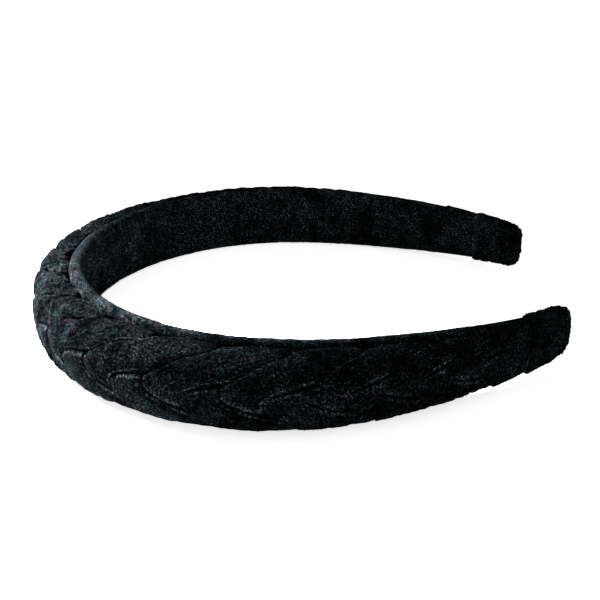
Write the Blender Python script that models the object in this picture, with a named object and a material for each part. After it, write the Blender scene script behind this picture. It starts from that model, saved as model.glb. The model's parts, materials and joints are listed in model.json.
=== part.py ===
"""A padded velvet headband with a three-strand braid laid over it, resting on its rim.

Metres, +Z up. The band is a U in plan: the crown of the head is at -X, the two tips point to +X.
A plastic spring strip gives the U its shape. A velvet lining covers the strip's inner face and
folds over both rims, a foam strip pads its outer face, and three stuffed velvet tubes are braided
over the foam. A velvet ribbon covers each end of the braid and a velvet tab covers each tip.
The band bends at the crown when it is put on, so each long piece is two halves that meet there.
"""
import math

import bmesh
import bpy
import numpy as np

MM = 0.001

# The band's inner face in plan, from the middle of the crown to a tip.
HALF_LENGTH = 183 * MM
BEND_RADII = (67 * MM, 66 * MM, 60 * MM, 165 * MM, 80 * MM)   # at 0, 1/4, 1/2, 3/4 and 1

# Values at the crown, 1/3, 2/3 and the tip.
HALF_WIDTHS = (10.4 * MM, 10.4 * MM, 9.6 * MM, 6.0 * MM)
THICKNESSES = (15.2 * MM, 16.6 * MM, 12.8 * MM, 4.0 * MM)
RIM_DEPTHS = (5.4 * MM, 5.2 * MM, 4.6 * MM, 3.2 * MM)
FOAM_THICKNESSES = (3.0 * MM, 2.8 * MM, 1.8 * MM, 0.8 * MM)

CLEARANCE = 0.3 * MM          # between pieces that touch on the real object
LINING_THICKNESS = 0.8 * MM
LINING_CORNER = 1.6 * MM
REST_FLAT = 0.2 * MM          # how much of the lower rim the table flattens
CORE_THICKNESS = 1.6 * MM
CORE_START = LINING_THICKNESS + CLEARANCE
FOAM_START = CORE_START + CORE_THICKNESS + CLEARANCE

# The braid. A strand's place in it goes through one full turn in each pitch.
BRAID_PITCH = 50 * MM
BRAID_PHASE = 9.5 * MM
STRAND_WIDTH_SHARE = 0.46     # a strand's half width, as a share of the band's
STRAND_DEPTH_SHARE = 0.29     # a strand's half thickness, as a share of the braid's
CROSSING_SHARPNESS = 1.2      # above 0, a strand crosses the middle faster and lies along the rim
STRAND_WALL = 0.9 * MM
STRAND_NAMES = ("a", "b", "c")

WRAP_START = 27 * MM          # all three are measured back from the tip
BRAID_END = 24.5 * MM
CAP_START = 15 * MM
FILLING_END = 42 * MM
WRAP_THICKNESS = 0.8 * MM
CAP_THICKNESS = 0.9 * MM
CAP_STEP = 0.5 * MM           # the tab stands this much proud of the ribbon
CAP_END_ROUNDING = 3.5 * MM
INSERT_END = 4.0 * MM         # where the spring strip and the lining stop inside the tab

# The flex at the crown: the halves part by wedges on either side of the spring strip.
OPENING_ANGLE = math.radians(22)
CLOSING_ANGLE = math.radians(4)
PIVOT_DEPTH = CORE_START + CORE_THICKNESS / 2

RING_PITCH = 6 * MM
STRAND_RING_PITCH = 4 * MM
STRAND_SIDES = 8
SIDES = (("left", 1), ("right", -1))

BLACK_VELVET = ((0.012, 0.013, 0.016), 0.95)
BLACK_PLASTIC = ((0.02, 0.02, 0.022), 0.45)
GREY_FOAM = ((0.09, 0.09, 0.095), 0.9)
WHITE_WADDING = ((0.75, 0.75, 0.73), 1.0)


def along(stations, share):
    """A smooth even curve through the values at 0, 1/3, 2/3 and 1, flat at the crown."""
    places = np.linspace(0, 1, len(stations))
    powers = 2 * np.arange(len(stations))
    factors = np.linalg.solve(places[:, None] ** powers, np.array(stations))
    return float((share ** powers) @ factors)


def plan_table(samples=1441):
    """Distance, x, y and heading of the inner face, found by adding up its bend."""
    s = np.linspace(0, HALF_LENGTH, samples)
    stations = np.linspace(0, HALF_LENGTH, len(BEND_RADII))
    bend = np.interp(s, stations, 1 / np.array(BEND_RADII))
    step = s[1] - s[0]

    def total(rate):
        return np.concatenate([[0], np.cumsum((rate[1:] + rate[:-1]) / 2 * step)])

    heading = total(bend)
    return s, total(np.sin(heading)), total(np.cos(heading)), heading


PLAN = plan_table()
MID_HEIGHT = max(along(HALF_WIDTHS, u) for u in np.linspace(0, 1, 101)) - REST_FLAT


def place(s, side, depth, height):
    """A point of the band: s along it, depth outwards from its inner face, height from its middle."""
    x, y, heading = (np.interp(s, PLAN[0], column) for column in PLAN[1:])
    return (
        x - math.cos(heading) * depth,
        side * (y + math.sin(heading) * depth),
        MID_HEIGHT + height,
    )


def ring_at(s, side, section):
    """A section's (depth, height) points, placed at s. At the crown they lie on the flex wedge."""
    points = [place(s, side, depth, height) for depth, height in section]
    if s > 0:
        return points
    wedge = []
    for x, _, z in points:
        behind, ahead = max(0, -PIVOT_DEPTH - x), max(0, x + PIVOT_DEPTH)
        opening = behind * math.tan(OPENING_ANGLE / 2) + ahead * math.tan(CLOSING_ANGLE / 2)
        wedge.append((x, side * (CLEARANCE / 2 + opening), z))
    return wedge


def stations_between(start, end, pitch=RING_PITCH):
    """Places along the band from start to end, about a pitch apart."""
    return np.linspace(start, end, max(2, round((end - start) / pitch) + 1))


def material(name, look):
    """A Principled material of one colour and roughness."""
    made = bpy.data.materials.new(name)
    made.use_nodes = True
    shader = made.node_tree.nodes["Principled BSDF"]
    shader.inputs["Base Color"].default_value = (*look[0], 1)
    shader.inputs["Roughness"].default_value = look[1]
    made.diffuse_color = (*look[0], 1)
    return made


def add_object(name, mesh_data, look, collection):
    """Puts a bmesh in the scene as a named object with its own material."""
    bmesh.ops.recalc_face_normals(mesh_data, faces=mesh_data.faces)
    if mesh_data.calc_volume(signed=True) < 0:
        bmesh.ops.reverse_faces(mesh_data, faces=mesh_data.faces)
    mesh = bpy.data.meshes.new(name)
    mesh_data.to_mesh(mesh)
    mesh_data.free()
    mesh.shade_smooth()
    mesh.set_sharp_from_angle(angle=math.radians(40))
    made = bpy.data.objects.new(name, mesh)
    made.data.materials.append(material(name, look))
    collection.objects.link(made)
    return made


def add_skin(mesh_data, rings):
    """Joins rings of points with triangles and gives back the rings of vertices.

    The triangles' diagonals all run one way, so skins inside one another keep their distance.
    """
    rows = [[mesh_data.verts.new(point) for point in ring] for ring in rings]
    for row, after in zip(rows, rows[1:]):
        for i in range(len(row)):
            j = (i + 1) % len(row)
            mesh_data.faces.new((row[i], row[j], after[j]))
            mesh_data.faces.new((row[i], after[j], after[i]))
    return rows


def join_rims(mesh_data, row, other):
    """Joins two rings of the same count at an open end."""
    for i in range(len(row)):
        j = (i + 1) % len(row)
        mesh_data.faces.new((row[i], row[j], other[j], other[i]))


def solid_loft(name, rings, look, collection):
    """A closed solid through rings of points, with a flat cap on each end."""
    mesh_data = bmesh.new()
    rows = add_skin(mesh_data, rings)
    mesh_data.faces.new(rows[0])
    mesh_data.faces.new(rows[-1])
    return add_object(name, mesh_data, look, collection)


def tube_loft(name, outer_rings, inner_rings, look, collection, closed_end=False):
    """A walled tube, open at its start, and open or closed at its end."""
    mesh_data = bmesh.new()
    outer = add_skin(mesh_data, outer_rings)
    inner = add_skin(mesh_data, inner_rings)
    join_rims(mesh_data, outer[0], inner[0])
    if closed_end:
        mesh_data.faces.new(outer[-1])
        mesh_data.faces.new(inner[-1])
    else:
        join_rims(mesh_data, outer[-1], inner[-1])
    return add_object(name, mesh_data, look, collection)


def arc(centre, radius, start, end, count=4):
    """Points (depth, height) along an arc. Angles are in degrees, from +depth towards +height."""
    angles = np.radians(np.linspace(start, end, count))
    return [(centre[0] + radius * math.cos(a), centre[1] + radius * math.sin(a)) for a in angles]


def lining_section(share):
    """The lining's outline: a channel whose back is the inner face and whose lips lie on the rims."""
    half, rim = along(HALF_WIDTHS, share), along(RIM_DEPTHS, share)
    low = max(-half, -MID_HEIGHT)

    def path(inset):
        corner = LINING_CORNER - inset
        top, bottom = half - LINING_CORNER, low + LINING_CORNER
        return (
            [(rim, half - inset)]
            + arc((LINING_CORNER, top), corner, 90, 180)
            + arc((LINING_CORNER, bottom), corner, 180, 270)
            + [(rim, low + inset)]
        )

    return path(0) + path(LINING_THICKNESS)[::-1]


def core_section(share):
    """The spring strip's outline: flat faces with rounded rims."""
    half = along(HALF_WIDTHS, share) - LINING_THICKNESS - CLEARANCE - REST_FLAT
    radius = CORE_THICKNESS / 2
    middle = CORE_START + radius
    return arc((middle, half - radius), radius, 0, 180) + arc((middle, radius - half), radius, 180, 360)


def foam_section(share):
    """The foam's outline: flat against the strip, with rounded outer corners."""
    half = along(HALF_WIDTHS, share) - LINING_THICKNESS - CLEARANCE - REST_FLAT
    thick = along(FOAM_THICKNESSES, share)
    radius = thick * 0.6
    edge, corner = FOAM_START + thick - radius, half - radius
    return (
        [(FOAM_START, -half)]
        + arc((edge, -corner), radius, -90, 0)
        + arc((edge, corner), radius, 0, 90)
        + [(FOAM_START, half)]
    )


def braid_at(s):
    """The room the braid has at s: its back, its thickness, and a strand's half width and half thickness."""
    share = s / HALF_LENGTH
    back = FOAM_START + along(FOAM_THICKNESSES, share) + CLEARANCE
    braid = along(THICKNESSES, share) - back
    width = STRAND_WIDTH_SHARE * (along(HALF_WIDTHS, share) - CLEARANCE)
    return back, braid, width, STRAND_DEPTH_SHARE * braid


def strand_centre(s, side, strand):
    """Where a strand's middle is, (depth, height), in strand half thicknesses and half widths."""
    turn = 2 * math.pi * (-side * s - BRAID_PHASE) / BRAID_PITCH
    angle = turn + 2 * math.pi * strand / len(STRAND_NAMES)
    lateral = math.tanh(CROSSING_SHARPNESS * math.sin(angle)) / math.tanh(CROSSING_SHARPNESS)
    lift = 0.5 / STRAND_DEPTH_SHARE - 1
    swing = 1 / STRAND_WIDTH_SHARE - 1
    return np.array([lift * math.sin(2 * angle), swing * lateral])


def strand_sections(s, side, strand):
    """A strand's outlines at s: the cover's outside, the cover's inside and the filling.

    Each strand is an ellipse that its neighbours and the foam press flat where they meet. A
    neighbour also presses half a ring ahead and behind, so the skins between rings stay apart.
    """
    back, braid, width, depth = braid_at(s)
    own = strand_centre(s, side, strand)
    presses = []
    for other in range(len(STRAND_NAMES)):
        if other == strand:
            continue
        for ahead in (-0.5, 0, 0.5):
            near = s + ahead * STRAND_RING_PITCH
            here, there = (strand_centre(near, side, k) for k in (strand, other))
            facing = (there - here) / np.linalg.norm(there - here)
            room = (here + there) / 2 @ facing - own @ facing - CLEARANCE / 2 / depth
            presses.append((facing, room))
    presses.append((np.array([-1, 0]), own[0] + braid / 2 / depth))
    outlines = ([], [], [])
    for i in range(STRAND_SIDES):
        angle = 2 * math.pi * (i + 0.5) / STRAND_SIDES
        way = np.array([math.cos(angle), math.sin(angle)])
        reach = min([1] + [room / (way @ facing) for facing, room in presses if way @ facing > 0.05])
        arm = reach * way * (depth, width)
        length = np.linalg.norm(arm)
        wall = min(STRAND_WALL, 0.3 * length)
        gap = min(CLEARANCE, 0.15 * length)
        middle = own * (depth, width) + (back + braid / 2, 0)
        for outline, inset in zip(outlines, (0, wall, wall + gap)):
            outline.append(tuple(middle + arm * (1 - inset / length)))
    return outlines


def sleeve_section(s, inset, proud, squeeze=1.0):
    """A rounded outline round the whole band at s. Inset moves it inwards, proud outwards."""
    share = min(1.0, s / HALF_LENGTH)
    grow = proud - inset
    half = (along(HALF_WIDTHS, share) + grow) * squeeze
    inner, outer = -grow, along(THICKNESSES, share) + grow
    radius = min(LINING_CORNER + grow, 0.45 * (outer - inner))
    low, high = inner + radius, outer - radius
    top = half - radius
    return (
        arc((high, top), radius, 0, 90, 3)
        + arc((low, top), radius, 90, 180, 3)
        + arc((low, -top), radius, 180, 270, 3)
        + arc((high, -top), radius, 270, 360, 3)
    )


def build_core(side_name, side, collection):
    end = HALF_LENGTH - INSERT_END
    places = stations_between(0, end)
    rings = [ring_at(s, side, core_section(s / HALF_LENGTH)) for s in places]
    solid_loft(f"core_{side_name}", rings, BLACK_PLASTIC, collection)


def build_lining(side_name, side, collection):
    end = HALF_LENGTH - INSERT_END
    places = stations_between(0, end)
    rings = [ring_at(s, side, lining_section(s / HALF_LENGTH)) for s in places]
    solid_loft(f"lining_{side_name}", rings, BLACK_VELVET, collection)


def build_foam(side_name, side, collection):
    places = stations_between(0, HALF_LENGTH - BRAID_END)
    rings = [ring_at(s, side, foam_section(s / HALF_LENGTH)) for s in places]
    solid_loft(f"foam_{side_name}", rings, GREY_FOAM, collection)


def build_strand(side_name, side, strand, collection):
    outer, inner, filling = [], [], []
    for s in stations_between(0, HALF_LENGTH - BRAID_END, STRAND_RING_PITCH):
        outside, inside, stuffed = strand_sections(s, side, strand)
        outer.append(ring_at(s, side, outside))
        inner.append(ring_at(s, side, inside))
        if s < HALF_LENGTH - FILLING_END:
            filling.append(ring_at(s, side, stuffed))
    name = f"strand_{STRAND_NAMES[strand]}"
    tube_loft(f"{name}_cover_{side_name}", outer, inner, BLACK_VELVET, collection)
    solid_loft(f"{name}_filling_{side_name}", filling, WHITE_WADDING, collection)


def build_end_wrap(side_name, side, collection):
    start, end = HALF_LENGTH - WRAP_START, HALF_LENGTH - CAP_START - CLEARANCE
    places = stations_between(start, end, RING_PITCH / 2)
    rings = [
        [ring_at(s, side, sleeve_section(s, -CLEARANCE, proud)) for s in places]
        for proud in (WRAP_THICKNESS, 0)
    ]
    tube_loft(f"end_wrap_{side_name}", *rings, BLACK_VELVET, collection)


def cap_rings(side, inset):
    """The tab's rings from its mouth to the tip, where its corners round in."""
    outside = CAP_STEP + WRAP_THICKNESS - inset
    end = HALF_LENGTH - inset
    places = [HALF_LENGTH - CAP_START, HALF_LENGTH - CAP_START * 0.6]
    places += [end - CAP_END_ROUNDING * (1 - math.sin(a)) for a in np.radians((0, 30, 60, 90))]
    rings = []
    for s in places:
        past = max(0, s - (end - CAP_END_ROUNDING)) / CAP_END_ROUNDING
        squeeze = 1 - 0.35 * (1 - math.sqrt(1 - past * past)) if past < 1 else 0.65
        section = sleeve_section(s, -CLEARANCE, outside, squeeze)
        rings.append(ring_at(s, side, section))
    return rings


def build_tip_cap(side_name, side, collection):
    tube_loft(
        f"tip_cap_{side_name}",
        cap_rings(side, 0),
        cap_rings(side, CAP_THICKNESS),
        BLACK_VELVET,
        collection,
        closed_end=True,
    )


def centre_on_origin(collection):
    """Moves every piece so that the middle of the band's base is the origin."""
    corners = np.array([v.co for piece in collection.objects for v in piece.data.vertices])
    low, high = corners.min(axis=0), corners.max(axis=0)
    shift = -(low + high) / 2
    shift[2] = -low[2]
    for piece in collection.objects:
        for vertex in piece.data.vertices:
            vertex.co = np.array(vertex.co) + shift
    print("pivot", np.round(np.array([-PIVOT_DEPTH, 0, MID_HEIGHT]) + shift, 6).tolist())
    print("size", np.round(high - low, 5).tolist())


def build():
    for existing in list(bpy.data.objects):
        bpy.data.objects.remove(existing)
    collection = bpy.data.collections.new("braided_headband")
    bpy.context.scene.collection.children.link(collection)
    for side_name, side in SIDES:
        build_core(side_name, side, collection)
        build_lining(side_name, side, collection)
        build_foam(side_name, side, collection)
        for strand in range(len(STRAND_NAMES)):
            build_strand(side_name, side, strand, collection)
        build_end_wrap(side_name, side, collection)
        build_tip_cap(side_name, side, collection)
    centre_on_origin(collection)


build()
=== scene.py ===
"""The looks of a braided black velvet headband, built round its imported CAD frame.

Metres, +Z up. A place on the band is (s, depth, height): s runs along the inner face from the
middle of the crown, positive towards the right-hand tip (-Y) and negative towards the left one,
depth runs outwards from the inner face, and height runs up from the middle of the band's width.
"""
import json
import math

import bpy
import numpy as np
from mathutils import Matrix, Vector


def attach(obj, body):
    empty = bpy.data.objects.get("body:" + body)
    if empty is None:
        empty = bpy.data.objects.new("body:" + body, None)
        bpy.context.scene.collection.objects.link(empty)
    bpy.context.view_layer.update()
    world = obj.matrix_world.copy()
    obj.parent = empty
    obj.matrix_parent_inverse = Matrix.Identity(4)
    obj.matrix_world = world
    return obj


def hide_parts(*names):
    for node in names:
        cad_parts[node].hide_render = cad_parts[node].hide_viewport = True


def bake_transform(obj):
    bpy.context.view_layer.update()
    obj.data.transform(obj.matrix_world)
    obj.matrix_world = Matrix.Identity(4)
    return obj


MM = 0.001

# The band. Its length, bends and thicknesses are the frame's. Its half width is up to 0.6 mm more
# than the frame's towards the tips. Its wraps are of thinner cloth, and its tips are furrier.
HALF_LENGTH = 183 * MM
BEND_RADII = (67 * MM, 66 * MM, 60 * MM, 165 * MM, 80 * MM)    # at 0, 1/4, 1/2, 3/4 and 1
HALF_WIDTHS = (10.4 * MM, 10.6 * MM, 10.1 * MM, 6.6 * MM)      # at 0, 1/3, 2/3 and 1
THICKNESSES = (15.2 * MM, 16.6 * MM, 12.8 * MM, 4.0 * MM)
FOAM_THICKNESSES = (3.0 * MM, 2.8 * MM, 1.8 * MM, 0.8 * MM)
CLEARANCE = 0.3 * MM            # between pieces that touch on the real object
LINING_THICKNESS = 0.8 * MM
CORE_THICKNESS = 1.6 * MM
CORE_START = LINING_THICKNESS + CLEARANCE
FOAM_START = CORE_START + CORE_THICKNESS + CLEARANCE
BRAID_PITCH = 50 * MM           # a strand's place goes through one full turn in each pitch
BRAID_PHASE = 9.5 * MM
STRAND_WIDTH_SHARE = 0.46       # a strand's half width, as a share of the band's
STRAND_DEPTH_SHARE = 0.29       # a strand's half thickness, as a share of the braid's
CROSSING_SHARPNESS = 1.2        # higher crosses the middle faster and lies longer along the rim
STRAND_NAMES = ("a", "b", "c")
WRAP_START = 27 * MM            # this and the next four are measured back from the tip
BRAID_END = 24.5 * MM
FILLING_END = 42 * MM
CAP_START = 15 * MM
INSERT_END = 4.0 * MM
WRAP_THICKNESS = 0.35 * MM
CAP_THICKNESS = 0.9 * MM
CAP_STEP = 0.65 * MM            # how far the tab stands proud of the ribbon
CAP_OVERHANG = 2.0 * MM         # how far the furry end stands beyond the strip
CAP_END_ROUNDING = 3.4 * MM
PIVOT_DEPTH = CORE_START + CORE_THICKNESS / 2

# The camera, set to look at the band as the photograph does.
CAMERA_TARGET = (2.93 * MM, -25.2 * MM, 14.1 * MM)
CAMERA_AZIMUTH = math.radians(1.06)
CAMERA_ELEVATION = math.radians(22.4)
CAMERA_ROLL = math.radians(0.21)
CAMERA_DISTANCE = 0.284
CAMERA_LENS, CAMERA_SENSOR = 59.17, 36    # millimetres in both
CAMERA_CLIP = 0.01

# The studio.
FLOOR_REACH = 4.0
FLOOR_DROP = 0.2 * MM           # keeps the floor clear of the pile that touches it
PAPER_SHADE = 0.93
PAPER_ROUGHNESS = 0.9
PAPER_GLOW = 0.75
SURROUND_GLOW = 0.45
KEY_PLACE = (-0.516, 0.150, 0.382)
KEY_TARGET = (-0.073, -0.022, 0.010)
KEY_SIZE = 0.08
KEY_POWER = 0.84
KEY_SPREAD = math.radians(11.5)

# The velvets: a near-black ground, the glint of its pile, and a highlight painted on folds and edges.
BRAID_GROUND, BRAID_GLINT = (0.00030, 0.00038, 0.00045), (0.042, 0.046, 0.050)
BRAID_FOLD_HIGHLIGHT = (0.042, 0.047, 0.051)
LINING_GROUND, LINING_GLINT = (0.00030, 0.00042, 0.00050), (0.064, 0.072, 0.077)
LINING_HIGHLIGHT = (0.030, 0.034, 0.037)
SPARK_RAMP = ((0.50, 0.0), (0.61, 0.15), (0.72, 1.0))    # the finest noise, and how much glints
HIGHLIGHT_SPECK_RAMP = ((0.46, 0.0), (0.56, 0.6), (0.66, 2.0))      # breaks the painted fold highlight up into specks
HUE_RAMP = (                                             # the glint's red, green and blue shares
    (0.30, (1.3, 0.8, 1.2)),
    (0.45, (1.0, 1.0, 1.0)),
    (0.55, (0.5, 1.05, 1.05)),
    (0.70, (1.2, 1.15, 1.0)),
)
PILE_NOISE = (1900.0, 3.0, 0.85)    # each noise is a scale, a detail and a roughness
# the next noise breaks the painted highlight up into specks
HIGHLIGHT_SPECK_NOISE = (1500.0, 3.0, 0.70)
HUE_NOISE = (900.0, 1.0, 0.50)
COARSE_NOISE = (550.0, 3.0, 0.70)
NAP_NOISE = (1 / (7 * MM), 5.0, 0.65)    # the patches where the crushed pile lies one way
NAP_RANGE, NAP_BRIGHTNESS = (0.36, 0.66), (0.25, 2.1)
VELVET_BUMP, COARSE_BUMP, PILE_BUMP = 0.6, 0.5 * MM, 0.3 * MM
PILE_ROUGHNESS = (0.75, 1.0)
SHEEN, SHEEN_ROUGHNESS, SHEEN_TINT = 0.0015, 0.38, (0.72, 0.86, 1.0, 1)

# The hidden materials.
PLASTIC_COLOUR, PADDING_COLOUR = (0.02, 0.02, 0.022), (0.003, 0.003, 0.0035)
GRAIN_SHADE = 0.75              # of a grain's dark side
GRAIN_STOPS = (0.3, 0.7)
GRAIN_DETAIL, GRAIN_BUMP = 3.0, 0.4

# The seeds of the noises.
LUMP_SEED, PILE_SEED, RUCHE_SEED, TURN_SEED = 11, 21, 31, 41    # and the strand's number
LINING_SEEDS = (61, 62, 63)
WRAP_SEED, TIP_SEED = 71, 81                                    # and the side, -1 or 1
PATCH_SEED = 91
NOISE_CELLS = 32                # across one repeat of the noise on the meshes
PLAN_SAMPLES = 2881

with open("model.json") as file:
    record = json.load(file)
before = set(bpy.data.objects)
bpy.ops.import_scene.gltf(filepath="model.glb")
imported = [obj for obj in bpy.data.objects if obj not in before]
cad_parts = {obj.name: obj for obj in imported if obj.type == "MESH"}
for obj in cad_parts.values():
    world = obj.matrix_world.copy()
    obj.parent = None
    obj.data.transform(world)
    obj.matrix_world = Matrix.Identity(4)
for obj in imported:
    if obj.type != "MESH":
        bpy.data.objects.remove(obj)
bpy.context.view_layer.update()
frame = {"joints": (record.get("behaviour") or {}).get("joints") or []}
LEFT, RIGHT = "left_half", "right_half"
SIDES = (("left", -1, LEFT), ("right", 1, RIGHT))
HINGE = frame["joints"][0]["pos_m"]
ORIGIN = np.array([HINGE[0] + PIVOT_DEPTH, HINGE[1], HINGE[2]])


# ---------------------------------------------------------------- the band's shape

def along(stations, s):
    """A smooth curve through values from the crown to a tip, the same on both sides."""
    places = np.linspace(0, 1, len(stations))
    powers = 2 * np.arange(len(stations))
    factors = np.linalg.solve(places[:, None] ** powers, np.array(stations))
    share = np.minimum(np.abs(s) / HALF_LENGTH, 1)
    return np.power(share[..., None], powers) @ factors


def evenly(stations, s):
    """Straight lines through values that are spread evenly from the crown to a tip."""
    return np.interp(np.abs(s) / HALF_LENGTH, np.linspace(0, 1, len(stations)), stations)


def eased(share):
    """The share, from 0 to 1, slowed down at both ends."""
    return share * share * (3 - 2 * share)


def plan_table():
    """Distance, x, y and heading of the inner face, found by adding up its bend."""
    s = np.linspace(0, HALF_LENGTH, PLAN_SAMPLES)
    stations = np.linspace(0, HALF_LENGTH, len(BEND_RADII))
    bend = np.interp(s, stations, 1 / np.array(BEND_RADII))
    step = s[1] - s[0]

    def total(rate):
        return np.concatenate([[0], np.cumsum((rate[1:] + rate[:-1]) / 2 * step)])

    heading = total(bend)
    return s, total(np.sin(heading)), total(np.cos(heading)), heading


PLAN = plan_table()


def place(s, depth, height):
    """World points of the band at s, depth and height, which are arrays of one shape."""
    s, depth, height = np.broadcast_arrays(s, depth, height)
    x, y, heading = (np.interp(np.abs(s), PLAN[0], column) for column in PLAN[1:])
    beyond = np.maximum(np.abs(s) - HALF_LENGTH, 0)
    x, y = x + np.sin(heading) * beyond, y + np.cos(heading) * beyond
    side = np.where(s > 0, -1.0, 1.0)
    return ORIGIN + np.stack(
        [x - np.cos(heading) * depth, side * (y + np.sin(heading) * depth), height], -1
    )


# ---------------------------------------------------------------- noise and meshes

def lattice_noise(points, size, seed):
    """Smooth noise between -1 and 1, one lump per size, at each of the points."""
    cells = np.random.default_rng(seed).uniform(-1, 1, (NOISE_CELLS, NOISE_CELLS, NOISE_CELLS))
    at = points / size
    low = np.floor(at).astype(int)
    part = eased(at - low)
    found = 0
    for corner in np.ndindex(2, 2, 2):
        weight = np.prod(np.where(corner, part, 1 - part), axis=-1)
        index = (low + corner) % NOISE_CELLS
        found = found + weight * cells[index[..., 0], index[..., 1], index[..., 2]]
    return found


def grid_normals(grid, closed_along=False):
    """Unit normals of a grid of points that closes round its second axis."""
    if closed_along:
        ahead = np.roll(grid, -1, 0) - np.roll(grid, 1, 0)
    else:
        ahead = np.gradient(grid, axis=0)
    round_it = np.roll(grid, -1, 1) - np.roll(grid, 1, 1)
    normal = np.cross(round_it, ahead)
    return normal / (np.linalg.norm(normal, axis=-1, keepdims=True) + 1e-12)


def grid_object(name, grid, closed_along=False):
    """A smooth closed mesh through a grid of points that closes round its second axis."""
    rows, count = grid.shape[:2]
    points = grid.reshape(-1, 3)
    joined_rows = rows if closed_along else rows - 1
    row, column = np.meshgrid(np.arange(joined_rows), np.arange(count), indexing="ij")
    after_row, after_column = (row + 1) % rows, (column + 1) % count
    quads = np.stack(
        [row * count + column, row * count + after_column,
         after_row * count + after_column, after_row * count + column], -1
    ).reshape(-1, 4)
    faces = quads.tolist()
    if not closed_along:
        ends = np.stack([grid[0].mean(0), grid[-1].mean(0)])
        points = np.concatenate([points, ends])
        first, last = rows * count, rows * count + 1
        base = (rows - 1) * count
        for i in range(count):
            j = (i + 1) % count
            faces.append((first, j, i))
            faces.append((last, base + i, base + j))
    mesh = bpy.data.meshes.new(name)
    mesh.from_pydata(points.tolist(), [], faces)
    mesh.update()
    centre = points.mean(0)
    normals = np.array([p.normal for p in mesh.polygons])
    centres = np.array([p.center for p in mesh.polygons])
    areas = np.array([p.area for p in mesh.polygons])
    signed = ((centres - centre) * normals).sum(-1) @ areas
    if signed < 0:
        mesh.flip_normals()
    mesh.shade_smooth()
    made = bpy.data.objects.new(name, mesh)
    bpy.context.scene.collection.objects.link(made)
    return made


# ---------------------------------------------------------------- materials

def node(tree, kind, **settings):
    """A new node with some of its inputs or properties set."""
    made = tree.nodes.new(kind)
    for key, value in settings.items():
        if key in made.inputs:
            made.inputs[key].default_value = value
        else:
            setattr(made, key, value)
    return made


def ramp(tree, value, stops):
    """A colour that follows a value through these (position, colour) stops."""
    made = tree.nodes.new("ShaderNodeValToRGB")
    elements = made.color_ramp.elements
    while len(elements) < len(stops):
        elements.new(0.5)
    for element, (position, colour) in zip(elements, stops):
        element.position = position
        element.color = (*colour, 1)
    tree.links.new(value, made.inputs["Fac"])
    return made.outputs["Color"]


def grey_ramp(tree, value, stops):
    """A grey that follows a value through these (position, brightness) stops."""
    return ramp(tree, value, [(position, (shade, shade, shade)) for position, shade in stops])


def noise(tree, where, scale, detail, roughness=0.5):
    """A noise of this scale, read at the places."""
    made = node(tree, "ShaderNodeTexNoise", Scale=scale, Detail=detail, Roughness=roughness)
    tree.links.new(where, made.inputs["Vector"])
    return made.outputs["Fac"]


def mapped(tree, value, old_range, new_range):
    """A value carried over from one range to another."""
    made = node(tree, "ShaderNodeMapRange", **{
        "From Min": old_range[0], "From Max": old_range[1],
        "To Min": new_range[0], "To Max": new_range[1],
    })
    tree.links.new(value, made.inputs["Value"])
    return made.outputs["Result"]


def mixed(tree, blend_type, first, second):
    """Two colours added or multiplied."""
    made = node(tree, "ShaderNodeMix", data_type="RGBA", blend_type=blend_type)
    made.inputs["Factor"].default_value = 1.0
    tree.links.new(first, made.inputs["A"])
    tree.links.new(second, made.inputs["B"])
    return made.outputs["Result"]


def bump(tree, height, strength, distance, under=None):
    """A bumped normal, on top of another one if there is one under it."""
    made = node(tree, "ShaderNodeBump", Strength=strength, Distance=distance)
    tree.links.new(height, made.inputs["Height"])
    if under is not None:
        tree.links.new(under, made.inputs["Normal"])
    return made.outputs["Normal"]


def new_material(name):
    """A new material, its node tree, its shader, and the places on the object."""
    made = bpy.data.materials.new(name)
    made.use_nodes = True
    tree = made.node_tree
    where = tree.nodes.new("ShaderNodeTexCoord").outputs["Object"]
    return made, tree, tree.nodes["Principled BSDF"], where


def velvet(name, ground, glint, folds):
    """Black velvet: crushed patches, fine glints of pile, painted fold highlights and a faint sheen.

    A highlight is painted where the piece's own "pale" values say so.
    """
    made, tree, shader, where = new_material(name)
    link = tree.links.new
    pile = noise(tree, where, *PILE_NOISE)
    hue = noise(tree, where, *HUE_NOISE)
    tints = [(position, tuple(np.multiply(glint, shares))) for position, shares in HUE_RAMP]
    sparks = node(tree, "ShaderNodeMix", data_type="RGBA")
    link(grey_ramp(tree, pile, SPARK_RAMP), sparks.inputs["Factor"])
    sparks.inputs["A"].default_value = (*ground, 1)
    link(ramp(tree, hue, tints), sparks.inputs["B"])
    # A highlight painted on the folds, where "pale" says, broken up into specks.
    pale = node(tree, "ShaderNodeAttribute", attribute_name="pale").outputs["Fac"]
    fold_highlight = ramp(tree, pale, ((0.0, (0, 0, 0)), (1.0, folds)))
    highlight_specks = grey_ramp(tree, noise(tree, where, *HIGHLIGHT_SPECK_NOISE), HIGHLIGHT_SPECK_RAMP)
    lit = mixed(tree, "ADD", sparks.outputs["Result"], mixed(tree, "MULTIPLY", fold_highlight, highlight_specks))
    nap = mapped(tree, noise(tree, where, *NAP_NOISE), NAP_RANGE, NAP_BRIGHTNESS)
    link(mixed(tree, "MULTIPLY", lit, nap), shader.inputs["Base Color"])
    link(mapped(tree, pile, (0.0, 1.0), PILE_ROUGHNESS), shader.inputs["Roughness"])
    shader.inputs["Specular IOR Level"].default_value = 0.0
    shader.inputs["Sheen Weight"].default_value = SHEEN
    shader.inputs["Sheen Roughness"].default_value = SHEEN_ROUGHNESS
    shader.inputs["Sheen Tint"].default_value = SHEEN_TINT
    deep = bump(tree, noise(tree, where, *COARSE_NOISE), VELVET_BUMP, COARSE_BUMP)
    link(bump(tree, pile, VELVET_BUMP, PILE_BUMP, deep), shader.inputs["Normal"])
    return made


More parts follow.
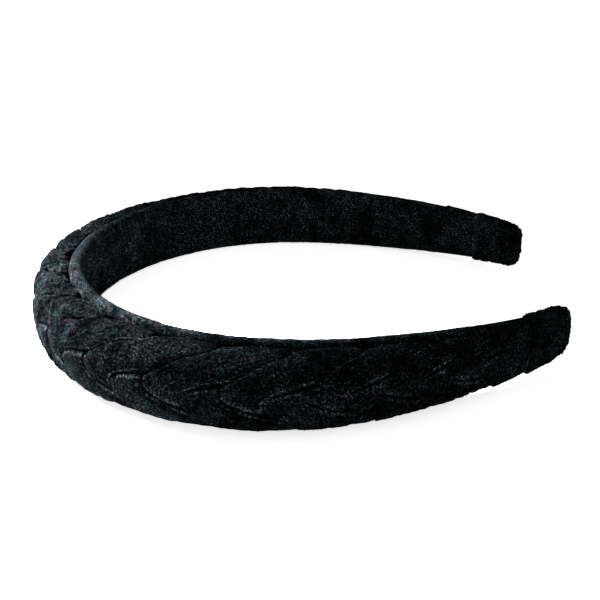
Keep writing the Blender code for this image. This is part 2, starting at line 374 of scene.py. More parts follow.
def plain(name, colour, roughness, grain, depth):
    """A matte material with a grained bump and slight colour variation, for the hidden pieces."""
    made, tree, shader, where = new_material(name)
    link = tree.links.new
    grains = noise(tree, where, 1 / grain, GRAIN_DETAIL)
    dark = tuple(part * GRAIN_SHADE for part in colour)
    shades = ramp(tree, grains, ((GRAIN_STOPS[0], dark), (GRAIN_STOPS[1], colour)))
    link(shades, shader.inputs["Base Color"])
    shader.inputs["Roughness"].default_value = roughness
    link(bump(tree, grains, GRAIN_BUMP, depth), shader.inputs["Normal"])
    return made


# ---------------------------------------------------------------- the braid

STRAND_STEP = 0.65 * MM         # between a cover's rings, away from the crown
STRAND_SIDES = 96
FILLING_STEP = 2.5 * MM
FILLING_SIDES = 24
FILLING_INSET = 1.5 * MM
EDGE_FOLDS = (0.78, 0.88, 0.93, 0.97)    # a highlight is painted beside a fold, between these presses
PRESS_SOFTNESS = (8, 13, 14)    # higher is a sharper edge where two strands press together
OUTLINE_SOFTNESS = 10
FOLD_LIMIT = 1.2                # the hardest press that is told apart
MOST_INSET = 0.45               # the most that an inset takes off a strand's reach
OUTLINE_REACHES = (0.3 * MM, 40 * MM)    # the nearest and furthest that the outline can be
OUTLINE_HALVINGS = 22
UPPER_POWER, LOWER_POWER = 2.67, 3.3    # of the superellipse halves that the band fills
TOP_DROP = 0.10                 # how far the braid's top falls away behind the lining's roll
TOP_DROP_START = 70 * MM        # along the band, where it falls in full
TOP_DROP_DEPTH = 0.2            # how far out the fall starts, in half thicknesses
GROOVES = (0.75 * MM, 0.50 * MM, 0.35 * MM)    # how far a strand draws in along a fold
GROOVE_WIDTH = 0.13
STRAND_TOUCH = 0.05 * MM        # half the gap left between two strands
STRAND_SLANT = 9 * MM           # how far along the band a strand's edge runs beyond its middle
SLANT_ROUNDING = 0.12
SLANT_STILL = 0.5               # the share of the half width where the slant moves nothing
PLUMPNESS = 2.2                 # a strand's size with nothing pressing on it, in strand halves
RIM_BACKS = (4.1 * MM, 3.6 * MM, 3.3 * MM, 3.2 * MM)    # where the braid meets the lining's roll
RIM_WRAP = (0.5, 0.9)           # the braid wraps the foam between these shares of the half width


def strand_centre(s, strand):
    """Where a strand's middle is, (depth, height), in strand half thicknesses and half widths."""
    angle = 2 * math.pi * ((s - BRAID_PHASE) / BRAID_PITCH + strand / len(STRAND_NAMES))
    lateral = np.tanh(CROSSING_SHARPNESS * np.sin(angle)) / math.tanh(CROSSING_SHARPNESS)
    lift, swing = 0.5 / STRAND_DEPTH_SHARE - 1, 1 / STRAND_WIDTH_SHARE - 1
    return np.stack([lift * np.sin(2 * angle), swing * lateral], -1)


def braid_back(s, height_share):
    """The depth where the braid starts: behind the foam, and further in at both rims."""
    middle, rim = FOAM_START + along(FOAM_THICKNESSES, s), along(RIM_BACKS, s)
    share = np.clip((np.abs(height_share) - RIM_WRAP[0]) / (RIM_WRAP[1] - RIM_WRAP[0]), 0, 1)
    return middle + (rim - middle) * eased(share)


def reach_to_outline(middle, way, thickness, half):
    """How far the band's own outline is from each middle, along each way."""
    near = np.zeros(way.shape[:2])
    far = np.full(way.shape[:2], OUTLINE_REACHES[1])
    for _ in range(OUTLINE_HALVINGS):
        reach = (near + far) / 2
        depth = middle[:, None, 0] + reach * way[..., 0] - thickness[:, None] / 2
        height = middle[:, None, 1] + reach * way[..., 1]
        power = np.where(height > 0, UPPER_POWER, LOWER_POWER)
        across = np.abs(2 * depth / thickness[:, None]) ** power
        inside = across + np.abs(height / half[:, None]) ** power < 1
        near = np.where(inside, reach, near)
        far = np.where(inside, far, reach)
    return np.maximum(near, OUTLINE_REACHES[0])


def strand_outline(s, strand, angles, inset=0.0):
    """A strand's (depth, height) outline at each s, and how hard its neighbours press on it.

    It is an ellipse pressed flat by the other strands, by the foam and by the band's outline.
    """
    back = FOAM_START + along(FOAM_THICKNESSES, s)
    thickness, half = along(THICKNESSES, s), along(HALF_WIDTHS, s)
    braid = thickness - back
    scale = np.stack([STRAND_DEPTH_SHARE * braid, STRAND_WIDTH_SHARE * half], -1)
    own = strand_centre(s, strand)
    middle = own * scale + np.stack([back + braid / 2, np.zeros_like(s)], -1)
    way = np.stack([np.cos(angles), np.sin(angles)], -1)
    sharp = evenly(PRESS_SOFTNESS, s)[:, None]
    shortness = np.full((len(s), len(angles)), PLUMPNESS ** -OUTLINE_SOFTNESS)
    press = np.zeros_like(shortness)
    for other in range(len(STRAND_NAMES)):
        if other == strand:
            continue
        apart = strand_centre(s, other) - own
        distance = np.linalg.norm(apart, axis=-1)
        facing = (apart / distance[:, None]) @ way.T
        room = distance / 2 - STRAND_TOUCH / scale[:, 0]
        press = press + (np.maximum(facing, 0) / room[:, None]) ** sharp
    room = own[:, 0] + braid / 2 / scale[:, 0]
    foam_press = (np.maximum(-way[:, 0], 0) / room[:, None]) ** sharp
    stretched = way * scale[:, None]
    length = np.linalg.norm(stretched, axis=-1)
    edge = reach_to_outline(middle, stretched / length[..., None], thickness, half) / length
    shortness = shortness + edge ** -OUTLINE_SOFTNESS
    free = shortness ** (-1 / OUTLINE_SOFTNESS)
    total = (free ** -sharp + press + foam_press) ** (-1 / sharp)
    arm = total[..., None] * stretched
    if inset:
        size = np.linalg.norm(arm, axis=-1, keepdims=True)
        arm = arm * (1 - np.minimum(inset / size, MOST_INSET))
    section = middle[:, None] + arm
    fold = np.clip(press ** (1 / sharp) * free, 0, FOLD_LIMIT)
    depth_share = (section[..., 0] - back[:, None]) / braid[:, None]
    height_share = section[..., 1] / half[:, None]
    rise = np.sqrt(height_share ** 2 + SLANT_ROUNDING ** 2) - SLANT_ROUNDING
    room_left = np.minimum((HALF_LENGTH - BRAID_END - np.abs(s)) / (2 * STRAND_SLANT), 1)
    moved = s[:, None] + STRAND_SLANT * room_left[:, None] * (rise - SLANT_STILL)
    new_back = braid_back(moved, height_share)
    depth = new_back + depth_share * (along(THICKNESSES, moved) - new_back)
    outer = np.clip(2 * depth / along(THICKNESSES, moved) - TOP_DROP_DEPTH, 0, 1)
    fall = outer * np.maximum(height_share, 0) * TOP_DROP
    fall = fall * np.minimum(np.abs(moved) / TOP_DROP_START, 1)
    return moved, depth, height_share * (1 - fall) * along(HALF_WIDTHS, moved), fold


RUCHE_HEIGHT = 0.36 * MM        # of the fine gathers across a strand at the crown
RUCHE_SPACING = 1.9 * MM
RUCHE_REACH = 52 * MM           # how far from the crown they fade
RUCHE_STEP = 0.38 * MM          # between a cover's rings at the crown, to hold the gathers
RING_SAMPLES = 4001
RUCHE_VALLEY = 0.6              # the share of a gather's height that lies below the strand
RUCHE_PATCHES = 9 * MM
RUCHE_PATCH_LEVEL, RUCHE_PATCH_CONTRAST = 0.35, 1.3
RUCHE_WANDER, RUCHE_WANDER_SIZE = 0.9, 5 * MM
FREE_PRESS = (0.85, 0.15)       # the gathers move a strand in full below this press, less above
SMOOTH_PRESS = (0.88, 0.10)     # the ruching stops between this press and so much more
RIM_FADE = (0.95, 0.20)         # and between this share of the half width and so much less
CROWN_PALE = 0.75               # the painted fold highlight lost at the crown, where gathers replace it
LUMP_HEIGHT, LUMP_SIZE = 0.15 * MM, 7 * MM
PILE_HEIGHT, PILE_SIZE = 0.08 * MM, 0.9 * MM

SIM_SCALE = 100.0               # the solver works better on cloth of human size
SIM_STEP = 1.0 * MM
SIM_SIDES = 48
SIM_FRAMES = 20
SIM_REACH = 0.9 * MM            # the furthest that a point may lie from the full strand
SIM_SWELL = 0.05 * MM           # past this, most of the swelling is left out
SIM_SWELL_KEPT = 0.3
SIM_INSET = 0.75 * MM
SIM_JITTER = 0.04 * MM
SIM_HOLD = 0.4
SIM_HELD_ROWS = 2
SIM_SLACK = 0.16                # how much longer and wider the cloth is at the crown
SIM_ARM_SLACK = 0.15            # the arms' share of that
SIM_SLACK_REACH = 48 * MM
SIM_CLOTH = {
    "quality": 5,
    "mass": 0.3,
    "tension_stiffness": 20,
    "compression_stiffness": 20,
    "shear_stiffness": 5,
    "bending_stiffness": 0.01,
    "use_pressure": True,
    "uniform_pressure_force": 1.6,
    "vertex_group_mass": "hold",
    "pin_stiffness": 1.0,
    "vertex_group_shrink": "slack",
    "shrink_min": -SIM_SLACK,
    "shrink_max": 0.0,
}


def near_crown(s):
    """1 at the crown, fading to 0 where the ruching ends."""
    return np.exp(-(s / RUCHE_REACH) ** 4)


def below(value, limit_and_fade):
    """1 up to the limit, fading to 0 over the fade beyond it."""
    limit, fade = limit_and_fade
    return 1 - np.clip((value - limit) / fade, 0, 1)


def ring_places(end):
    """Where along the band a cover's rings lie: closest together at the crown."""
    s = np.linspace(-end, end, RING_SAMPLES)
    density = 1 / STRAND_STEP + (1 / RUCHE_STEP - 1 / STRAND_STEP) * near_crown(s)
    count = np.concatenate([[0], np.cumsum((density[1:] + density[:-1]) / 2 * (s[1] - s[0]))])
    return np.interp(np.linspace(0, count[-1], round(count[-1])), count, s)


def strand_cover(strand):
    """One braided velvet tube from end to end, gathered most at the crown."""
    end = HALF_LENGTH - BRAID_END
    s = ring_places(end)
    angles = np.linspace(0, 2 * math.pi, STRAND_SIDES, endpoint=False)
    ring_s, depth, height, fold = strand_outline(s, strand, angles)
    grid = place(ring_s, depth, height)
    normal = grid_normals(grid)
    outward = place(ring_s, depth + MM, height) - grid
    if (normal * outward)[:, 0].sum() < 0:
        normal = -normal
    moves = resample(gathered(strand, end), (s + end) / (2 * end), STRAND_SIDES)
    swell = (moves * normal).sum(-1)
    kept = np.minimum(swell, SIM_SWELL + SIM_SWELL_KEPT * (swell - SIM_SWELL))
    moves = moves + normal * (kept - swell)[..., None]
    grid = grid + moves * below(fold, FREE_PRESS)[..., None]
    groove = evenly(GROOVES, s)[:, None] * np.exp(-((fold - 1) / GROOVE_WIDTH) ** 2)
    ruche = RUCHE_HEIGHT * near_crown(ring_s) * below(fold, SMOOTH_PRESS)
    patches = lattice_noise(grid, RUCHE_PATCHES, RUCHE_SEED + strand)
    ruche = ruche * np.clip(RUCHE_PATCH_LEVEL + RUCHE_PATCH_CONTRAST * patches, 0, 1)
    rim_share = np.abs(height) / along(HALF_WIDTHS, ring_s)
    ruche = ruche * np.clip((RIM_FADE[0] - rim_share) / RIM_FADE[1], 0, 1)
    wander = RUCHE_WANDER * lattice_noise(grid, RUCHE_WANDER_SIZE, TURN_SEED + strand)
    turns = ring_s / RUCHE_SPACING + wander
    waves = np.abs(np.sin(math.pi * turns)) - RUCHE_VALLEY
    grid = grid + normal * (ruche * waves - groove)[..., None]
    lumps = LUMP_HEIGHT * lattice_noise(grid, LUMP_SIZE, LUMP_SEED + strand)
    pile = PILE_HEIGHT * lattice_noise(grid, PILE_SIZE, PILE_SEED + strand)
    grid = grid + normal * (lumps + pile)[..., None]
    grid[..., 2] = np.maximum(grid[..., 2], 0)
    made = grid_object(f"strand_{STRAND_NAMES[strand]}", grid)
    # A highlight painted along the strand's folds, in place of the sheen on their edges.
    pale = np.interp(fold, EDGE_FOLDS, (0, 1, 1, 0)) * (1 - CROWN_PALE * near_crown(ring_s))
    store_pale(made, pale)
    return made


def gathered(strand, end):
    """How a cover's cloth lies when there is more of it than the strand needs.

    The cloth starts from a slimmer strand, swells to the full one and buckles into gathers.
    """
    s = np.linspace(-end, end, round(2 * end / SIM_STEP))
    angles = np.linspace(0, 2 * math.pi, SIM_SIDES, endpoint=False)
    full = place(*strand_outline(s, strand, angles)[:3])
    start = place(*strand_outline(s, strand, angles, inset=SIM_INSET)[:3])
    start = start + SIM_JITTER * np.random.default_rng(strand).normal(size=start.shape)
    cloth = grid_object("cloth", start * SIM_SCALE)
    slack = cloth.vertex_groups.new(name="slack")
    hold = cloth.vertex_groups.new(name="hold")
    crown = np.exp(-(s / SIM_SLACK_REACH) ** 4)
    tight = (1 - SIM_ARM_SLACK) - (1 - SIM_ARM_SLACK) * crown
    for row in range(len(s)):
        ring = list(range(row * SIM_SIDES, (row + 1) * SIM_SIDES))
        slack.add(ring, float(tight[row]), "REPLACE")
        inner_row = SIM_HELD_ROWS <= row < len(s) - SIM_HELD_ROWS
        hold.add(ring, SIM_HOLD if inner_row else 1.0, "REPLACE")
    cap_ends = [len(s) * SIM_SIDES, len(s) * SIM_SIDES + 1]
    hold.add(cap_ends, 1.0, "REPLACE")
    modifier = cloth.modifiers.new("cloth", "CLOTH")
    for setting, value in SIM_CLOTH.items():
        setattr(modifier.settings, setting, value)
    modifier.settings.effector_weights.gravity = 0
    modifier.collision_settings.use_collision = False
    modifier.point_cache.frame_start = 1
    modifier.point_cache.frame_end = SIM_FRAMES
    scene = bpy.context.scene
    for frame_number in range(1, SIM_FRAMES + 1):
        scene.frame_set(frame_number)
    settled = cloth.evaluated_get(bpy.context.evaluated_depsgraph_get()).data
    points = np.empty(len(settled.vertices) * 3)
    settled.vertices.foreach_get("co", points)
    points = points.reshape(-1, 3)[: len(s) * SIM_SIDES]
    moved = points.reshape(start.shape) / SIM_SCALE - full
    mesh = cloth.data
    bpy.data.objects.remove(cloth)
    bpy.data.meshes.remove(mesh)
    scene.frame_set(1)
    length = np.linalg.norm(moved, axis=-1, keepdims=True)
    return moved * np.minimum(1, SIM_REACH / np.maximum(length, 1e-9))


def resample(values, shares, columns):
    """Values of a grid, read smoothly at shares of its rows and at more columns, which wrap."""

    def blend(at, size, wrap, axis):
        low = np.floor(at).astype(int)
        part = at - low
        found = 0
        # The weights of the four nearest values in a smooth curve through them.
        weights = (
            -0.5 * part + part ** 2 - 0.5 * part ** 3,
            1 - 2.5 * part ** 2 + 1.5 * part ** 3,
            0.5 * part + 2 * part ** 2 - 1.5 * part ** 3,
            -0.5 * part ** 2 + 0.5 * part ** 3,
        )
        for offset, weight in zip((-1, 0, 1, 2), weights):
            index = (low + offset) % size if wrap else np.clip(low + offset, 0, size - 1)
            shape = (-1, 1, 1) if axis == 0 else (1, -1, 1)
            found = found + np.take(values, index, axis) * weight.reshape(shape)
        return found

    values = blend(shares * (values.shape[0] - 1), values.shape[0], False, 0)
    return blend(np.arange(columns) * values.shape[1] / columns, values.shape[1], True, 1)


# The patches that break up the highlights painted on the lining's crest and on the wraps' and tips'
# edges.
HIGHLIGHT_PATCHES, HIGHLIGHT_PATCH_LEVEL = 3 * MM, 0.55


def store_pale(piece, pale):
    """Keeps how strong the painted highlight is at each point, which the velvet's colour reads."""
    layer = piece.data.attributes.new("pale", "FLOAT", "POINT")
    values = np.zeros(len(piece.data.vertices), dtype=np.float32)
    values[:pale.size] = pale.reshape(-1)
    layer.data.foreach_set("value", values)


def in_patches(grid, weight):
    """The weight, kept in some patches of a grid and left out in others."""
    return weight * np.clip(HIGHLIGHT_PATCH_LEVEL + lattice_noise(grid, HIGHLIGHT_PATCHES, PATCH_SEED), 0, 1)


def strand_filling(strand):
    """The wadding inside a strand."""
    end = HALF_LENGTH - FILLING_END
    s = np.linspace(-end, end, round(2 * end / FILLING_STEP))
    angles = np.linspace(0, 2 * math.pi, FILLING_SIDES, endpoint=False)
    ring_s, depth, height, _ = strand_outline(s, strand, angles, inset=FILLING_INSET)
    return grid_object(f"strand_{STRAND_NAMES[strand]}_wadding", place(ring_s, depth, height))


# ---------------------------------------------------------------- lining, strip and foam

ROLL_HEIGHT = 2.0 * MM          # how much of the width each rolled rim takes
ROLL_TUCK = 0.45 * MM           # how far the roll reaches in under the braid
ROLL_PROUD = 0.15 * MM          # and how far it stands above it
ROLL_POINTS, FACE_POINTS, BACK_POINTS = 22, 26, 10
LINING_STEP = 0.6 * MM
LINING_BUMPS = ((0.10 * MM, 5 * MM), (0.06 * MM, 1.6 * MM), (0.10 * MM, 0.7 * MM))    # height, size
CREST_DEPTH, CREST_WIDTH = 0.45, 1.1 * MM    # the roll's crest, where a highlight is painted, a share of its depth
CREST_HEIGHT = 1.2 * MM                      # how far down from the rim it reaches
CREST_PLACES = (40 * MM, 60 * MM, 80 * MM, 150 * MM)    # distances from the crown, and how
CREST_SHINES = (0.05, 0.4, 1.0, 0.6)                    # pale the crest is at each
WRAP_MARGIN, WRAP_FADE = 3 * MM, 2 * MM      # the lining is smooth from this far before a wrap
STRIP_STEP = 2 * MM
STRIP_MARGIN = 0.4 * MM
CORNER_POINTS = 8
FOAM_MARGIN = 0.2 * MM
FOAM_EXTRA = 0.12               # the foam's half width beyond where the braid starts to wrap it
FOAM_CORNER = 0.6               # its rounding, a share of its thickness


def lining_outline(s):
    """The lining's closed outline at each s: its inner face, and a roll over each rim."""
    half, rim = along(HALF_WIDTHS, s)[:, None], along(RIM_BACKS, s)[:, None] + ROLL_TUCK
    centre = half - ROLL_HEIGHT + ROLL_PROUD

    def rolled(inset, count):
        turn = np.linspace(0, math.pi, count)[None]
        depth = rim / 2 + (rim / 2 - inset) * np.cos(turn)
        return depth, centre + (ROLL_HEIGHT - inset) * np.sin(turn)

    top_depth, top_height = rolled(0, ROLL_POINTS)
    face_height = np.linspace(1, -1, FACE_POINTS + 2)[None, 1:-1] * centre
    face_depth = np.zeros_like(face_height)
    back_depth, back_height = rolled(LINING_THICKNESS, BACK_POINTS)
    depth = [top_depth, face_depth, top_depth[:, ::-1], back_depth, back_depth[:, ::-1]]
    height = [top_height, face_height, -top_height[:, ::-1], -back_height, back_height[:, ::-1]]
    return np.concatenate(depth, 1), np.concatenate(height, 1)


def lining():
    """The velvet on the inner face, rolled over both rims."""
    end = HALF_LENGTH - INSERT_END
    s = np.linspace(-end, end, round(2 * end / LINING_STEP))
    depth, height = lining_outline(s)
    grid = place(s[:, None], depth, height)
    normal = grid_normals(grid)
    middle = grid.mean(1, keepdims=True)
    seen = np.arange(grid.shape[1]) < 2 * ROLL_POINTS + FACE_POINTS
    bumps = 0
    for (bump_height, size), seed in zip(LINING_BUMPS, LINING_SEEDS):
        bumps = bumps + bump_height * lattice_noise(grid, size, seed)
    outward = np.sign(((grid - middle) * normal).sum(-1)[:, :ROLL_POINTS].sum())
    free = below(np.abs(s), (HALF_LENGTH - WRAP_START - WRAP_MARGIN, WRAP_FADE))
    grid = grid + outward * normal * (bumps * seen * free[:, None])[..., None]
    grid[..., 2] = np.maximum(grid[..., 2], 0)
    made = grid_object("lining", grid)
    # A highlight is painted along the roll's crest, in patches.
    crest_depth = CREST_DEPTH * along(RIM_BACKS, s)[:, None]
    crest = np.exp(-((depth - crest_depth) / CREST_WIDTH) ** 2)
    crest = crest * (np.abs(height) > along(HALF_WIDTHS, s)[:, None] - CREST_HEIGHT)
    shine = np.interp(np.abs(s), CREST_PLACES, CREST_SHINES)
    store_pale(made, in_patches(grid, crest * shine[:, None]))
    return made


def core():
    """The plastic spring strip, tip to tip."""
    end = HALF_LENGTH - INSERT_END
    s = np.linspace(-end, end, round(2 * end / STRIP_STEP))
    half = (along(HALF_WIDTHS, s) - LINING_THICKNESS - CLEARANCE - STRIP_MARGIN)[:, None]
    radius = CORE_THICKNESS / 2
    turn = np.linspace(0, math.pi, CORNER_POINTS)[None]
    side_depth = CORE_START + radius + radius * np.cos(turn) + 0 * half
    side_height = half - radius + radius * np.sin(turn)
    depth = np.concatenate([side_depth, side_depth[:, ::-1]], 1)
    height = np.concatenate([side_height, -side_height[:, ::-1]], 1)
    return grid_object("spring_strip", place(s[:, None], depth, height))


def foam():
    """The foam strip between the spring strip and the braid."""
    end = HALF_LENGTH - BRAID_END
    s = np.linspace(-end, end, round(2 * end / STRIP_STEP))
    half = (RIM_WRAP[0] + FOAM_EXTRA) * along(HALF_WIDTHS, s)[:, None]
    thick = along(FOAM_THICKNESSES, s)[:, None] - FOAM_MARGIN
    corner = thick * FOAM_CORNER
    turn = np.linspace(0, math.pi / 2, CORNER_POINTS)[None]
    corner_depth = FOAM_START + thick - corner + corner * np.cos(turn)
    corner_height = half - corner + corner * np.sin(turn)
    flat = np.full_like(half, FOAM_START)
    depth = np.concatenate([corner_depth, flat, flat, corner_depth[:, ::-1]], 1)
    height = np.concatenate([corner_height, half, -half, -corner_height[:, ::-1]], 1)
    return grid_object("foam_strip", place(s[:, None], depth, height))


# ---------------------------------------------------------------- wraps and tips

SLEEVE_SIDES = 96
SLEEVE_EASE = -0.15 * MM        # below 0, the ends grip the band tighter than its outline
SLEEVE_POWER = 2.9
SLEEVE_FLOOR = 0.05 * MM        # no lower, so that the pile stays off the table
EDGE_TURN = 15                  # degrees between the points round a wrap's edge
WRAP_INSIDE_RINGS = 6
WRAP_STEP, WRAP_SHORT = 0.45 * MM, 0.1 * MM
WRAP_LUMP, WRAP_FUZZ = 0.10 * MM, 0.08 * MM
CAP_RING_STEP = 0.35 * MM
CAP_EDGE_TURN = 20
CAP_INSIDE_RINGS, CAP_END_RINGS = 8, 14
CAP_INSIDE_END = 0.5 * MM       # the inside draws in this far past the rounding's start
CAP_INSIDE_SHRINK = 0.5
CAP_LUMP, CAP_FUZZ = 0.15 * MM, 0.38 * MM
CAP_DRAW_IN = 0.42              # how far the rounded end draws in before it closes
CAP_CLOSING = (0.48, 0.36, 0.24, 0.12)
END_LUMP_SIZE, END_FUZZ_SIZE = 4 * MM, 0.55 * MM
# How far the highlight painted at a wrap's and a tab's first edge reaches, and the tab's share of it.
WRAP_PALE_REACH, CAP_PALE_REACH = 1.3 * MM, 1.5 * MM
CAP_PALE = 0.8
INNER_SIDE = -0.1               # the highest cosine of a ring's turn that is on the inner face


def sleeve_ring(s, proud, shrink=1.0):
    """A ring (s, depth, height) round the whole band, proud of it. A shrink below 1 draws it in."""
    turn = np.linspace(0, 2 * math.pi, SLEEVE_SIDES, endpoint=False)
    reach = np.array([min(abs(s), HALF_LENGTH)])
    half = along(HALF_WIDTHS, reach)[0] + SLEEVE_EASE + proud
    inner, outer = -(SLEEVE_EASE + proud), along(THICKNESSES, reach)[0] + SLEEVE_EASE + proud
    across = np.sign(np.cos(turn)) * np.abs(np.cos(turn)) ** (2 / SLEEVE_POWER)
    up = np.sign(np.sin(turn)) * np.abs(np.sin(turn)) ** (2 / SLEEVE_POWER)
    depth = (inner + outer) / 2 + (outer - inner) / 2 * across * shrink
    return s, depth, half * up * shrink


def inner_side():
    """1 for the points of a sleeve ring that lie on the band's inner face, or else 0."""
    turn = np.linspace(0, 2 * math.pi, SLEEVE_SIDES, endpoint=False)
    return (np.cos(turn) < INNER_SIDE) * 1.0


def sleeve_grid(rings):
    """World points of a list of (s, depth, height) rings."""
    return np.array([place(np.full(SLEEVE_SIDES, s), depth, height) for s, depth, height in rings])


def loop_places(start, end, thickness, step):
    """(s, proud) points round the edge of a cloth band that runs from start to end."""
    radius = thickness / 2
    out = [(s, thickness) for s in np.arange(start + radius, end - radius, step)]
    turn = np.radians(np.arange(90 - EDGE_TURN, -90, -EDGE_TURN))
    far = [(end - radius + radius * math.cos(a), radius + radius * math.sin(a)) for a in turn]
    back = [(s, 0.0) for s in np.linspace(end - radius, start + radius, WRAP_INSIDE_RINGS)]
    turn = np.radians(np.arange(270 - EDGE_TURN, 90, -EDGE_TURN))
    near = [(start + radius + radius * math.cos(a), radius + radius * math.sin(a)) for a in turn]
    return out + far + back + near


def fuzzed(grid, closed_along, lump, fuzz, seed):
    """The grid with soft lumps and a furry pile pushed out along its normals."""
    normal = grid_normals(grid, closed_along)
    lumps = lump * lattice_noise(grid, END_LUMP_SIZE, seed)
    pile = fuzz * lattice_noise(grid, END_FUZZ_SIZE, seed + 1)
    return grid + normal * (lumps + pile)[..., None]


def end_wrap(side_name, side):
    """The ribbon wound round the end of the braid."""
    start, end = HALF_LENGTH - WRAP_START, HALF_LENGTH - CAP_START - WRAP_SHORT
    places = loop_places(start, end, WRAP_THICKNESS, WRAP_STEP)
    grid = sleeve_grid([sleeve_ring(side * s, proud) for s, proud in places])
    grid = fuzzed(grid, True, WRAP_LUMP, WRAP_FUZZ, WRAP_SEED + side)
    grid[..., 2] = np.maximum(grid[..., 2], SLEEVE_FLOOR)
    made = grid_object(f"wrap_{side_name}", grid, closed_along=True)
    # A highlight painted along the wrap's first edge, on the inner face only, in patches.
    edge = np.exp(-((np.array(places)[:, :1] - start) / WRAP_PALE_REACH) ** 2)
    store_pale(made, in_patches(grid, edge * inner_side()))
    return made


def tip_cap(side_name, side):
    """The velvet tab folded over a tip, with a rounded furry end."""
    start, end = HALF_LENGTH - CAP_START, HALF_LENGTH + CAP_OVERHANG
    proud = CAP_STEP + WRAP_THICKNESS
    inner = proud - CAP_THICKNESS
    radius = CAP_THICKNESS / 2
    round_start = end - CAP_END_ROUNDING
    rings = [(round_start + CAP_INSIDE_END, inner, CAP_INSIDE_SHRINK)]
    rings += [(s, inner, 1.0) for s in np.linspace(round_start, start + radius, CAP_INSIDE_RINGS)]
    for a in np.radians(np.arange(270, 90, -CAP_EDGE_TURN)):
        edge_s, edge_proud = start + radius + radius * math.cos(a), inner + radius + radius * math.sin(a)
        rings.append((edge_s, edge_proud, 1.0))
    rings += [(s, proud, 1.0) for s in np.arange(start + radius, round_start, CAP_RING_STEP)]
    for a in np.radians(np.linspace(0, 90, CAP_END_RINGS)):
        shrink = 1 - CAP_DRAW_IN * (1 - math.cos(a))
        rings.append((end - CAP_END_ROUNDING * (1 - math.sin(a)), proud, shrink))
    rings += [(end, proud, shrink) for shrink in CAP_CLOSING]
    grid = sleeve_grid([sleeve_ring(side * s, out, shrink) for s, out, shrink in rings])
    grid = fuzzed(grid, False, CAP_LUMP, CAP_FUZZ, TIP_SEED + side)
    grid[..., 2] = np.maximum(grid[..., 2], SLEEVE_FLOOR)
    made = grid_object(f"tip_{side_name}", grid)
    # A highlight painted along the tab's edge, on the inner face only, in patches.
    places = np.array([ring[0] for ring in rings])[:, None]
    edge = np.exp(-((places - start) / CAP_PALE_REACH) ** 2)
    store_pale(made, in_patches(grid, CAP_PALE * edge * inner_side()))
    return made


# ---------------------------------------------------------------- assembly


def across_crown(piece):
    """Bakes a piece's placing into its points."""
    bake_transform(piece)


def both(stem):
    """The names of the CAD nodes that a tip-to-tip piece stands for."""
    return f"{stem}_left", f"{stem}_right"


def dress(piece, look, slot, *nodes):
    """Gives a piece its material and hides the CAD nodes that it stands for."""
    piece.data.materials.clear()
    piece.data.materials.append(look)
    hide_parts(*nodes)


def build_band():
    """Every piece of the headband in its material, with the wraps and tips on their bodies."""
    braid = velvet("braid_velvet", BRAID_GROUND, BRAID_GLINT, BRAID_FOLD_HIGHLIGHT)
    cloth = velvet("lining_velvet", LINING_GROUND, LINING_GLINT, LINING_HIGHLIGHT)
    plastic = plain("spring_plastic", PLASTIC_COLOUR, roughness=0.45, grain=4 * MM, depth=0.05 * MM)
    sponge = plain("foam", PADDING_COLOUR, roughness=0.95, grain=0.6 * MM, depth=0.3 * MM)
    wadding = plain("wadding", PADDING_COLOUR, roughness=1.0, grain=1.5 * MM, depth=0.5 * MM)
    for strand, letter in enumerate(STRAND_NAMES):
        cover = strand_cover(strand)
        dress(cover, braid, "braid_velvet", *both(f"strand_{letter}_cover"))
        across_crown(cover)
        filling = strand_filling(strand)
        dress(filling, wadding, "wadding", *both(f"strand_{letter}_filling"))
        across_crown(filling)
    strip = core()
    dress(strip, plastic, "spring_plastic", *both("core"))
    across_crown(strip)
    pad = foam()
    dress(pad, sponge, "foam", *both("foam"))
    across_crown(pad)
    inside = lining()
    dress(inside, cloth, "lining_velvet", *both("lining"))
    across_crown(inside)
    for side_name, side, body in SIDES:
        wrap = end_wrap(side_name, side)
        dress(wrap, cloth, "lining_velvet", f"end_wrap_{side_name}")
        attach(wrap, body)
        cap = tip_cap(side_name, side)
        dress(cap, cloth, "lining_velvet", f"tip_cap_{side_name}")
        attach(cap, body)


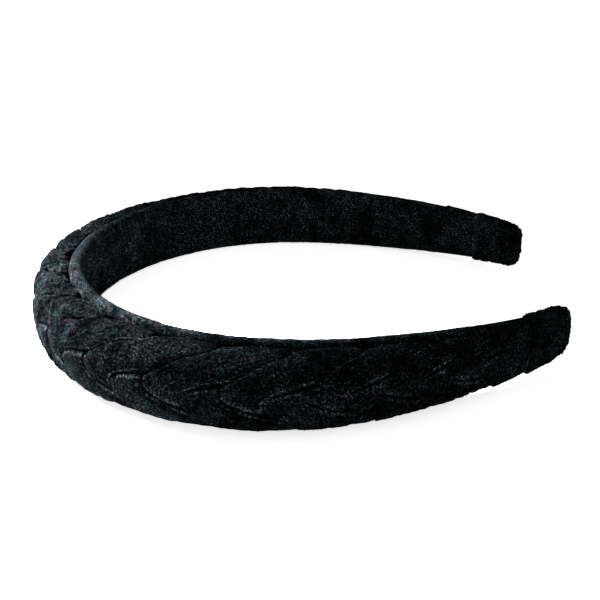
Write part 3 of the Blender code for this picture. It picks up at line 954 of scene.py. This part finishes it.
def key_light():
    """A small narrow light, high up beyond the crown."""
    data = bpy.data.lights.new("key", "AREA")
    data.shape = "DISK"
    data.size = KEY_SIZE
    data.energy = KEY_POWER
    data.spread = KEY_SPREAD
    made = bpy.data.objects.new("key", data)
    made.location = KEY_PLACE
    aim = Vector(KEY_TARGET) - Vector(KEY_PLACE)
    made.rotation_euler = aim.to_track_quat("-Z", "Y").to_euler()
    bpy.context.scene.collection.objects.link(made)


def build_studio():
    """A glowing white floor, a key light on the crown, and a white surround."""
    corners = [(FLOOR_REACH * x, FLOOR_REACH * y, 0) for x, y in ((-1, -1), (1, -1), (1, 1), (-1, 1))]
    mesh = bpy.data.meshes.new("floor")
    mesh.from_pydata(corners, [], [(0, 1, 2, 3)])
    floor = bpy.data.objects.new("floor", mesh)
    floor.location.z = -FLOOR_DROP
    bpy.context.scene.collection.objects.link(floor)
    paper = bpy.data.materials.new("paper")
    paper.use_nodes = True
    shader = paper.node_tree.nodes["Principled BSDF"]
    shader.inputs["Base Color"].default_value = (PAPER_SHADE, PAPER_SHADE, PAPER_SHADE, 1)
    shader.inputs["Roughness"].default_value = PAPER_ROUGHNESS
    shader.inputs["Emission Color"].default_value = (1, 1, 1, 1)
    shader.inputs["Emission Strength"].default_value = PAPER_GLOW
    mesh.materials.append(paper)
    key_light()
    world = bpy.data.worlds.new("surround")
    world.use_nodes = True
    background = world.node_tree.nodes["Background"]
    background.inputs["Color"].default_value = (1, 1, 1, 1)
    background.inputs["Strength"].default_value = SURROUND_GLOW
    bpy.context.scene.world = world
    bpy.context.scene.view_settings.view_transform = "Standard"


def build_camera():
    """The camera, turned to its target and then rolled a little."""
    data = bpy.data.cameras.new("camera")
    data.lens = CAMERA_LENS
    data.sensor_width = CAMERA_SENSOR
    data.clip_start = CAMERA_CLIP
    made = bpy.data.objects.new("camera", data)
    back = Vector((
        math.sin(CAMERA_AZIMUTH) * math.cos(CAMERA_ELEVATION),
        -math.cos(CAMERA_AZIMUTH) * math.cos(CAMERA_ELEVATION),
        math.sin(CAMERA_ELEVATION),
    ))
    location = Matrix.Translation(Vector(CAMERA_TARGET) + back * CAMERA_DISTANCE)
    turn = back.to_track_quat("Z", "Y").to_matrix().to_4x4()
    made.matrix_world = location @ turn @ Matrix.Rotation(CAMERA_ROLL, 4, "Z")
    bpy.context.scene.collection.objects.link(made)
    bpy.context.scene.camera = made


build_band()
build_studio()
build_camera()
